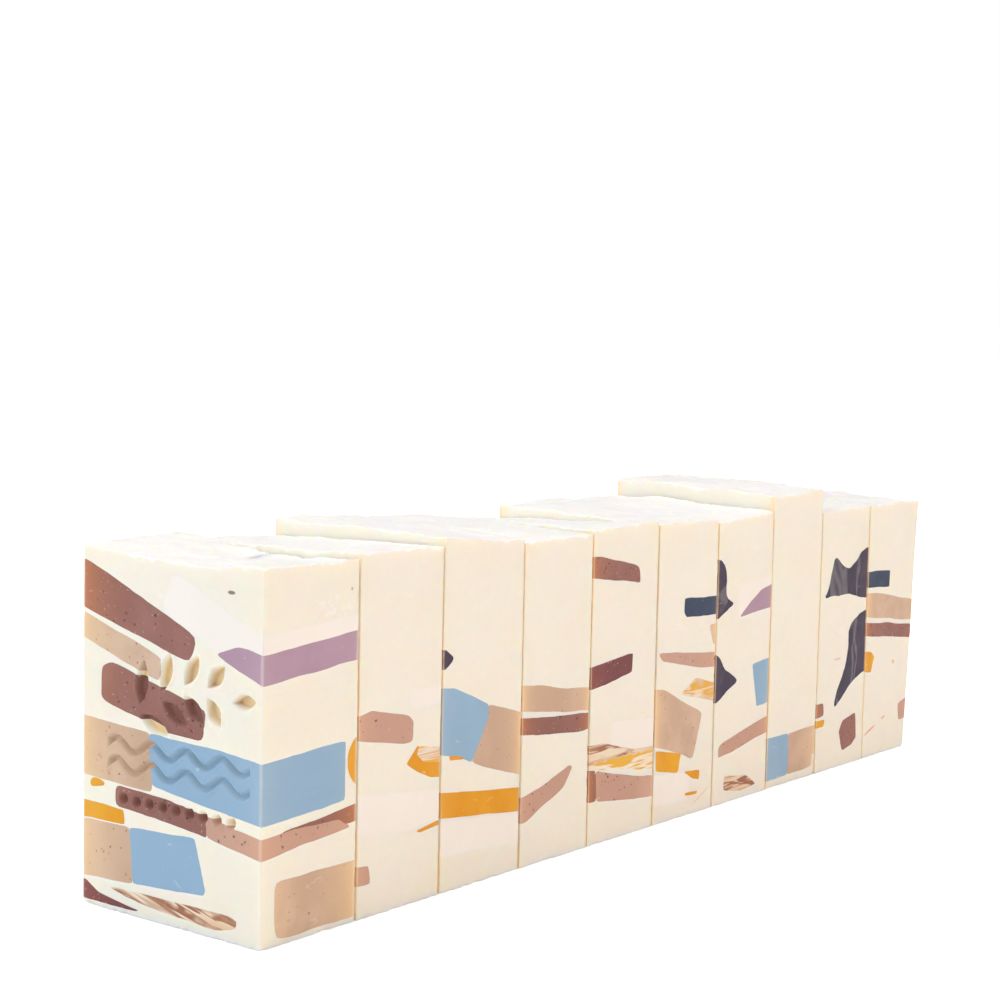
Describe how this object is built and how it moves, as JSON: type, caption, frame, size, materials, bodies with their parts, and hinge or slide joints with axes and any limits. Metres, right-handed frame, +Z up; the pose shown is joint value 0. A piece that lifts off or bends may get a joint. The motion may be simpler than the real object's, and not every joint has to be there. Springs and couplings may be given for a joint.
{
  "type": "cut soap loaf",
  "caption": "Loaf of handmade soap cut into separate upright bars standing in a row, each a cream block with coloured soap chunks cast in; the front bar has a pressed leaf and wave relief.",
  "frame": {"origin": "bottom centre of the whole row of bars, on the surface it stands on", "axes": "+Z up; +Y along the row, from the pressed front bar to the back bar; +X out of the right-hand side"},
  "size_m": [0.0544, 0.2878, 0.0839],
  "materials": {
    "blue_soap": "satin cold-process soap, slightly translucent",
    "brown_soap": "satin cold-process soap, slightly translucent",
    "cream_soap": "satin cold-process soap, slightly translucent",
    "lilac_soap": "satin cold-process soap, slightly translucent",
    "marbled_soap": "satin cold-process soap, slightly translucent",
    "mustard_soap": "satin cold-process soap, slightly translucent",
    "navy_soap": "satin cold-process soap, slightly translucent",
    "pink_soap": "satin cold-process soap, slightly translucent",
    "plum_soap": "satin cold-process soap, slightly translucent",
    "tan_soap": "satin cold-process soap, slightly translucent",
    "teal_soap": "satin cold-process soap, slightly translucent",
    "white_soap": "satin cold-process soap, slightly translucent"
  },
  "bodies": {
    "bar_01": {"bar_01_blue_chunks": "blue_soap", "bar_01_brown_chunks": "brown_soap", "bar_01_cream_block": "cream_soap", "bar_01_lilac_chunks": "lilac_soap", "bar_01_marbled_chunks": "marbled_soap", "bar_01_mustard_chunks": "mustard_soap", "bar_01_pink_chunks": "pink_soap", "bar_01_plum_chunks": "plum_soap", "bar_01_tan_chunks": "tan_soap", "bar_01_white_chunks": "white_soap"},
    "bar_02": {"bar_02_cream_block": "cream_soap", "bar_02_marbled_chunks": "marbled_soap", "bar_02_mustard_chunks": "mustard_soap", "bar_02_pink_chunks": "pink_soap", "bar_02_white_chunks": "white_soap"},
    "bar_03": {"bar_03_blue_chunks": "blue_soap", "bar_03_cream_block": "cream_soap", "bar_03_mustard_chunks": "mustard_soap", "bar_03_navy_chunks": "navy_soap", "bar_03_tan_chunks": "tan_soap", "bar_03_white_chunks": "white_soap"},
    "bar_04": {"bar_04_brown_chunks": "brown_soap", "bar_04_cream_block": "cream_soap", "bar_04_pink_chunks": "pink_soap", "bar_04_tan_chunks": "tan_soap"},
    "bar_05": {"bar_05_brown_chunks": "brown_soap", "bar_05_cream_block": "cream_soap", "bar_05_marbled_chunks": "marbled_soap", "bar_05_pink_chunks": "pink_soap", "bar_05_plum_chunks": "plum_soap", "bar_05_white_chunks": "white_soap"},
    "bar_06": {"bar_06_cream_block": "cream_soap", "bar_06_marbled_chunks": "marbled_soap", "bar_06_mustard_chunks": "mustard_soap", "bar_06_pink_chunks": "pink_soap", "bar_06_tan_chunks": "tan_soap", "bar_06_teal_chunks": "teal_soap", "bar_06_white_chunks": "white_soap"},
    "bar_07": {"bar_07_blue_chunks": "blue_soap", "bar_07_cream_block": "cream_soap", "bar_07_lilac_chunks": "lilac_soap", "bar_07_marbled_chunks": "marbled_soap", "bar_07_navy_chunks": "navy_soap", "bar_07_pink_chunks": "pink_soap", "bar_07_white_chunks": "white_soap"},
    "bar_08": {"bar_08_blue_chunks": "blue_soap", "bar_08_cream_block": "cream_soap", "bar_08_tan_chunks": "tan_soap"},
    "bar_09": {"bar_09_brown_chunks": "brown_soap", "bar_09_cream_block": "cream_soap", "bar_09_mustard_chunks": "mustard_soap", "bar_09_navy_chunks": "navy_soap"},
    "bar_10": {"bar_10_brown_chunks": "brown_soap", "bar_10_cream_block": "cream_soap", "bar_10_mustard_chunks": "mustard_soap", "bar_10_pink_chunks": "pink_soap", "bar_10_tan_chunks": "tan_soap", "bar_10_teal_chunks": "teal_soap"}
  },
  "joints": [
    {"name": "bar_02_lift", "type": "slide", "parent": "bar_01", "child": "bar_02", "axis": [0, 0, 1], "range_m": [0, 0.1]},
    {"name": "bar_03_lift", "type": "slide", "parent": "bar_01", "child": "bar_03", "axis": [0, 0, 1], "range_m": [0, 0.1]},
    {"name": "bar_04_lift", "type": "slide", "parent": "bar_01", "child": "bar_04", "axis": [0, 0, 1], "range_m": [0, 0.1]},
    {"name": "bar_05_lift", "type": "slide", "parent": "bar_01", "child": "bar_05", "axis": [0, 0, 1], "range_m": [0, 0.1]},
    {"name": "bar_06_lift", "type": "slide", "parent": "bar_01", "child": "bar_06", "axis": [0, 0, 1], "range_m": [0, 0.1]},
    {"name": "bar_07_lift", "type": "slide", "parent": "bar_01", "child": "bar_07", "axis": [0, 0, 1], "range_m": [0, 0.1]},
    {"name": "bar_08_lift", "type": "slide", "parent": "bar_01", "child": "bar_08", "axis": [0, 0, 1], "range_m": [0, 0.1]},
    {"name": "bar_09_lift", "type": "slide", "parent": "bar_01", "child": "bar_09", "axis": [0, 0, 1], "range_m": [0, 0.1]},
    {"name": "bar_10_lift", "type": "slide", "parent": "bar_01", "child": "bar_10", "axis": [0, 0, 1], "range_m": [0, 0.1]}
  ]
}
